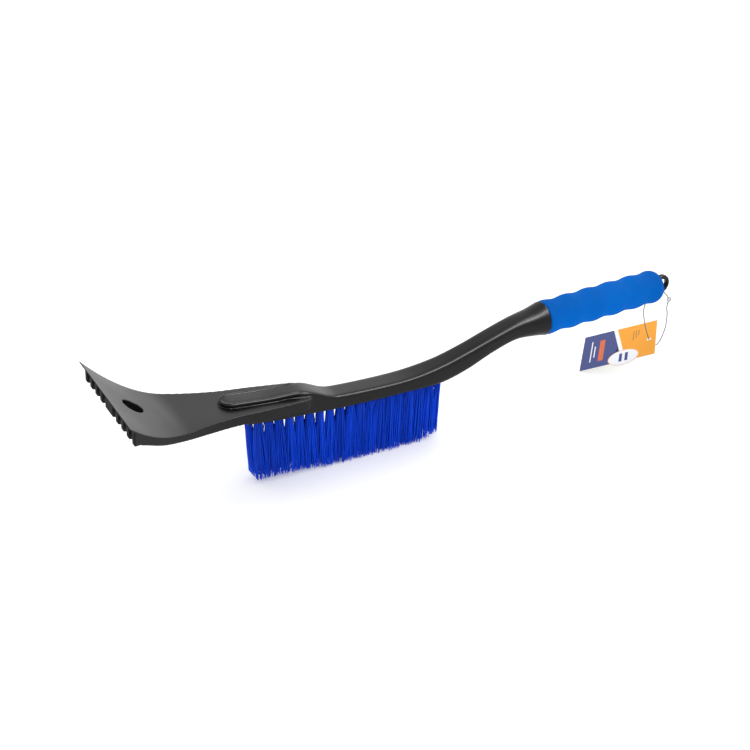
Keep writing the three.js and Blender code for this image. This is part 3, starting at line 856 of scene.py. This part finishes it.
def tuft_places():
    """Each tuft's name, its mouth in the block and its lean about Y."""
    places = []
    for row, first_x, y in TUFT_ROWS:
        for i in range(TUFTS_PER_ROW):
            x = first_x + i * TUFT_PITCH
            lean = -TUFT_LEAN * max(0, TUFT_LEAN_START_X - x) / TUFT_LEAN_SPAN
            places.append((f"{row}_{i + 1:02d}", np.array((x, y, block_underside(x))), lean))
    return places


PLACES = tuft_places()


# ---------------------------------------------------------------- the moulding as one piece
MOULD_VOXEL = 0.45
MOULD_FACES = 190_000
# A face of the blade scrapes where its normal points further forward than this.
SCRAPING_NORMAL_X = -0.2


def moulding():
    """Joins the moulding's solids, melts them into one and softens the edges as a mould does."""
    holed, blade_parts = blade()
    handle = make_object("handle", shaft())
    cut(handle, [cylinder(TUFT_ROOT_RADIUS + TUFT_HOLE_GAP, mouth, lean, TUFT_HOLE_DEPTH,
                          HOLE_CUT_BELOW)
                 for _, mouth, lean in PLACES])
    grip_parts = [on_grip_axis(part) for part in [*core(), ring()]]
    body = make_object("moulding", joined([*blade_parts, tongue(), tongue_rim(), *grip_parts]),
                       PLASTIC)
    with bpy.context.temp_override(active_object=body, object=body,
                                   selected_editable_objects=[body, *holed, handle]):
        bpy.ops.object.join()
    applied(body, ("REMESH", {"mode": "VOXEL", "voxel_size": MOULD_VOXEL * MM,
                              "use_smooth_shade": True}),
            ("SMOOTH", {"factor": 0.5, "iterations": 6}))
    body.data.calc_loop_triangles()
    share = MOULD_FACES / len(body.data.loop_triangles)
    if share < 1:
        applied(body, ("DECIMATE", {"ratio": share}))
    # The join left empty material slots. The faces that scrape are duller than the rest.
    body.data.materials.clear()
    for plastic in (PLASTIC, MATTE_PLASTIC):
        body.data.materials.append(plastic)
    for face in body.data.polygons:
        scrapes = face.center.x < SCRAPING_END_X * MM and face.normal.x < SCRAPING_NORMAL_X
        face.material_index = 1 if scrapes else 0
    return body


body = moulding()
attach(body, "scraper")
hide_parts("body")


# ---------------------------------------------------------------- foam sleeve
FOAM_START = 0.5
FOAM_LENGTH = 122.8
FOAM_BORE = CORE_RADIUS + 0.3
FOAM_NECK_RADIUS = 13.45
FOAM_SWELL = 1.25
FOAM_FIRST_SWELL = 27
FOAM_SWELL_PITCH = 22.6
FOAM_END_ROUND = 10
FOAM_END_RADIUS = 10.4
FOAM_END_ROUNDING = 0.999
FOAM_MOUTH_ROUND = 1.6
FOAM_MOUTH_DRAW = 0.7


def foam_radius(s):
    """The sleeve's outside: a rounded mouth, then finger swells, then a domed end."""
    swell = 0.5 + 0.5 * math.cos(2 * math.pi * (s - FOAM_FIRST_SWELL) / FOAM_SWELL_PITCH)
    full = FOAM_NECK_RADIUS + FOAM_SWELL * swell
    into_end = max(0, (s - FOAM_LENGTH + FOAM_END_ROUND) / FOAM_END_ROUND)
    dome = math.sqrt(max(0, 1 - (FOAM_END_ROUNDING * into_end) ** 2))
    radius = FOAM_END_RADIUS + (full - FOAM_END_RADIUS) * dome
    into_mouth = max(0, 1 - (s - FOAM_START) / FOAM_MOUTH_ROUND)
    drawn_in = FOAM_MOUTH_ROUND * FOAM_MOUTH_DRAW
    return radius - drawn_in * (1 - math.sqrt(max(0, 1 - into_mouth ** 2)))


def foam():
    ends = FOAM_MOUTH_ROUND * (1 - np.cos(np.linspace(0, math.pi / 2, 8)))
    middle = np.linspace(FOAM_MOUTH_ROUND, FOAM_LENGTH - FOAM_END_ROUND, 130)
    dome = FOAM_LENGTH - FOAM_END_ROUND * (1 - np.sin(np.linspace(0, math.pi / 2, 26)))
    stations = np.unique(np.concatenate([FOAM_START + ends, middle, dome]))
    outside = [(s, foam_radius(s)) for s in stations]
    inside = [(s, FOAM_BORE) for s in np.linspace(FOAM_LENGTH, FOAM_START, 30)]
    rings = [[(s, r * math.cos(t), r * math.sin(t)) for t in full_turn(120)]
             for s, r in [*outside, *inside]]
    return make_object("foam_sleeve", on_grip_axis(loft(rings, closed=True)), FOAM)


foam_sleeve = foam()
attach(foam_sleeve, "scraper")
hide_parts("foam_grip")


# ---------------------------------------------------------------- bristles
BRISTLES_PER_TUFT = 96
CLUMPS_PER_TUFT = 9
BRISTLE_RADIUS = 0.27
BRISTLE_TAPER = 0.15
BRISTLE_STEPS = 9
INTO_HOLE = 3
# Painted shade: bristles are this dark at their roots, where they lie under the block, and reach
# their own shade at this rate.
ROOT_PAINTED_SHADE = 0.55
PAINTED_SHADE_FADE_RATE = 2.2
# How far a tuft's tips spread along the row and across it, in millimetres.
REACH_ALONG = (6.6, 7.6)
REACH_ACROSS = 5.0
# The share of its reach that a tuft may use along the row: towards a neighbour, at an end of
# its row, and at the blade's end of the front row.
ROOM = 2
ROOM_AT_END = 0.12
ROOM_IN_FRONT = 0.6
ROOT_INSET = 0.15
# Each tuft is cut a little higher or lower, and each tip ends a little above its tuft's cut.
TUFT_TRIM = (-0.1, 0.3)
TIP_TRIM = 0.2
LOWEST_TIP = 0.05
TIP_DRIFT = 0.13
BOW_ALONG = 0.45
BOW_ACROSS = 0.35
# How much of a tip's place and shade comes from its clump.
CLUMPING = 0.2
CLUMP_SHADE = 0.75
# Height of the trimmed tips, which dip between x = -86 and 1 and rise at both ends.
trim = smooth_line([(-151, 0.1), (-148, 0.8), (-143, 3.6), (-135, 4.4), (-120, 4.4),
                    (-104, 3.0), (-86, 0.9), (-60, 0.1), (-30, 0.0), (0, 0.2), (10, 2.2),
                    (22, 6.0)])
# How late the tufts fan out: see-through gaps stay under the block over the first two thirds.
fan_delay = smooth_line([(-150, 0.72), (-130, 0.8), (-118, 1.05), (-100, 0.95), (-80, 1.15),
                         (-70, 1.1), (-60, 0.85), (-48, 0.62), (-38, 0.42), (25, 0.34)])


def bristle(root, tip, bow, fan, shade, points, faces, tones_and_root_shade):
    """A square filament that leaves its root early or late, as fan says, and tapers to its tip."""
    start = len(points)
    in_hole = INTO_HOLE / (root[2] - tip[2])
    for step in range(BRISTLE_STEPS):
        t = step / (BRISTLE_STEPS - 1)
        outside = max(0, (t - in_hole) / (1 - in_hole))
        spread = np.array((outside ** fan, outside ** fan, t))
        centre = root + (tip - root) * spread + bow * math.sin(math.pi * outside)
        radius = BRISTLE_RADIUS * (1 - BRISTLE_TAPER * t)
        for x, y in ((1, 0), (0, 1), (-1, 0), (0, -1)):
            points.append(centre + radius * np.array((x, y, 0)))
            # Painted shade: each point takes the bristle's own shade, darkened towards the root
            # under the block.
            tones_and_root_shade.append(shade * (ROOT_PAINTED_SHADE + (1 - ROOT_PAINTED_SHADE) * min(1, PAINTED_SHADE_FADE_RATE * t)))
    for step in range(BRISTLE_STEPS - 1):
        for k in range(4):
            a, b = start + step * 4 + k, start + step * 4 + (k + 1) % 4
            faces.append((a, b, b + 4, a + 4))
    faces.append((start, start + 3, start + 2, start + 1))
    end = start + (BRISTLE_STEPS - 1) * 4
    faces.append((end, end + 1, end + 2, end + 3))


def make_tuft(name, mouth, lean, ends, rng):
    """ends says whether the tuft is the first and whether it is the last of its row."""
    points, faces, tones_and_root_shade = [], [], []
    down = np.array((-math.sin(lean), 0, -math.cos(lean)))
    tuft_trim = rng.uniform(*TUFT_TRIM)
    fan = fan_delay(mouth[0]) * rng.uniform(0.9, 1.12)
    reach = rng.uniform(*REACH_ALONG)
    room_left, room_right = (ROOM_AT_END if end else ROOM for end in ends)
    if mouth[1] < 0:
        room_left = max(room_left, ROOM_IN_FRONT)
    clumps = [(rng.uniform(-1, 1), rng.uniform(-1, 1), rng.uniform(0.15, 1.0))
              for _ in range(CLUMPS_PER_TUFT)]
    for i in range(BRISTLES_PER_TUFT):
        away = math.sqrt((i + 0.5) / BRISTLES_PER_TUFT)
        turn = i * math.pi * (3 - math.sqrt(5))
        spot = away * np.array((math.cos(turn), math.sin(turn)))
        cx, cy, clump_shade = min(
            clumps, key=lambda clump: (clump[0] - spot[0]) ** 2 + (clump[1] - spot[1]) ** 2)
        root = mouth - down * INTO_HOLE
        root = root + (TUFT_ROOT_RADIUS - ROOT_INSET) * np.array((spot[0], spot[1], 0))
        drift = np.array((rng.gauss(0, TIP_DRIFT), rng.gauss(0, TIP_DRIFT)))
        aim = (1 - CLUMPING) * spot + CLUMPING * np.array((cx, cy)) + drift
        aim[0] = min(max(aim[0], -room_left), room_right)
        length = mouth[2] - trim(mouth[0])
        tip = mouth + down * length
        tip = tip + np.array((aim[0] * reach, aim[1] * REACH_ACROSS, 0))
        tip[2] = max(LOWEST_TIP, trim(tip[0]) + tuft_trim + abs(rng.gauss(0, TIP_TRIM)))
        bow = np.array((rng.gauss(0, BOW_ALONG), rng.gauss(0, BOW_ACROSS), 0))
        shade = min(1, max(0, CLUMP_SHADE * clump_shade + (1 - CLUMP_SHADE) * rng.random()))
        bristle(root, tip, bow, fan, shade, points, faces, tones_and_root_shade)
    tuft = make_object(f"bristles_{name}", (points, faces), BRISTLE)
    # Stored as the shade attribute: each bristle's own shade with painted shade at the roots.
    tuft.data.attributes.new("shade", "FLOAT", "POINT").data.foreach_set("value", tones_and_root_shade)
    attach(tuft, "scraper")
    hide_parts(f"tuft_{name}")


random_source = random.Random(11)
for tuft_name, tuft_mouth, tuft_lean in PLACES:
    row_ends = (tuft_name.endswith("_01"), tuft_name.endswith(f"_{TUFTS_PER_ROW}"))
    make_tuft(tuft_name, tuft_mouth, tuft_lean, row_ends, random_source)


# ---------------------------------------------------------------- anchors
ANCHOR_HALF_LENGTH = 2.6
ANCHOR_HALF_THICKNESS = 0.18
ANCHOR_HALF_HEIGHT = 0.7
ANCHOR_ARCH = 0.5
ANCHOR_BELOW_HOLE_END = 1.2


def anchors():
    """The flat wire staple that holds each tuft near the bottom of its hole."""
    solids = []
    for _, mouth, lean in PLACES:
        up = np.array((math.sin(lean), 0, math.cos(lean)))
        middle = mouth + up * (TUFT_HOLE_DEPTH - ANCHOR_BELOW_HOLE_END)
        rings = []
        for along in np.linspace(-ANCHOR_HALF_LENGTH, ANCHOR_HALF_LENGTH, 9):
            crest = ANCHOR_ARCH * (1 - (along / ANCHOR_HALF_LENGTH) ** 2)
            rings.append([middle + np.array((side * ANCHOR_HALF_THICKNESS, along,
                                             height * ANCHOR_HALF_HEIGHT + crest))
                          for side, height in ((-1, -1), (1, -1), (1, 1), (-1, 1))])
        solids.append(loft(rings))
    return make_object("tuft_anchors", joined(solids), METAL, smooth=False)


tuft_anchors = anchors()
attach(tuft_anchors, "scraper")


# ---------------------------------------------------------------- floor and light
FLOOR_HALF = 9000
FLOOR_Z = -0.2
LIGHT_AIM = (0, 0, 0.05)


def studio():
    n = Nodes(bpy.data.materials.new("studio_floor"))
    grain = n.noise(n.place(), 3, 3)
    n.finish(colour=n.mix(grain, (0.93, 0.93, 0.93, 1), (0.95, 0.95, 0.95, 1)), roughness=0.9,
             specular=0.1, glow=0.22)
    corners = [(x * FLOOR_HALF, y * FLOOR_HALF, FLOOR_Z)
               for x, y in ((-1, -1), (1, -1), (1, 1), (-1, 1))]
    floor = make_object("floor", (corners, [(0, 1, 2, 3)]), n.owner)
    bpy.context.scene.world = surround()
    bpy.context.scene.view_settings.view_transform = "Standard"


def surround():
    """A white tent, dimmer in front and in a patch behind, with a bright patch behind the grip.

    The patches show in the gloss of the blade and the shaft."""
    n = Nodes(bpy.data.worlds.new("studio"))
    direction = n.add("ShaderNodeTexCoord").outputs["Generated"]
    axes = n.add("ShaderNodeSeparateXYZ", {"Vector": direction}).outputs
    behind = n.between(axes["Y"], 0.0, 0.4, 0, 1)
    above = n.math("MULTIPLY", n.between(axes["Z"], 0.0, 0.35, 0, 1),
                   n.between(axes["Z"], 0.78, 0.92, 1, 0))
    aside = n.math("MULTIPLY", n.between(axes["X"], 0.0, 0.25, 0, 1),
                   n.between(axes["X"], 0.3, 0.6, 1, 0))
    dim = n.math("MULTIPLY", n.math("MULTIPLY", above, behind), aside)
    low = n.math("MULTIPLY", n.between(axes["Z"], 0.0, 0.3, 0, 1),
                 n.between(axes["Z"], 0.5, 0.62, 1, 0))
    glow = n.math("MULTIPLY", n.math("MULTIPLY", low, behind),
                  n.between(axes["X"], 0.25, 0.42, 0, 1))
    front = n.between(axes["Y"], -0.35, 0.0, 0.8, 1.0)
    light = n.math("MULTIPLY", front, n.between(axes["Z"], 0.0, 0.5, 1.4, 1.25))
    light = n.math("MULTIPLY", light, n.between(dim, 0, 1, 1.0, 0.76))
    light = n.math("MULTIPLY", light, n.between(glow, 0, 1, 1.0, 1.65))
    background = n.tree.nodes["Background"]
    n.feed(background.inputs["Color"], (1, 1, 1, 1))
    n.feed(background.inputs["Strength"], light)
    return n.owner


def softbox(name, place, size, power):
    """A soft box that lights glossy reflections only."""
    data = bpy.data.lights.new(name, "AREA")
    data.shape = "RECTANGLE"
    data.size, data.size_y = size
    data.energy = power
    light = bpy.data.objects.new(name, data)
    light.location = place
    light.rotation_mode = "QUATERNION"
    back = (Vector(place) - Vector(LIGHT_AIM)).normalized()
    side = Vector((1, 0, 0)) - back * back.x
    side.normalize()
    light.rotation_quaternion = Matrix((side, back.cross(side), back)).transposed().to_quaternion()
    light.visible_camera = False
    light.visible_diffuse = False
    bpy.context.collection.objects.link(light)


studio()
softbox("strip_light", (0.38, -0.58, 1.45), (1.15, 0.5), 44)
softbox("rim_light", (0.75, 0.02, 1.45), (0.5, 0.16), 13)
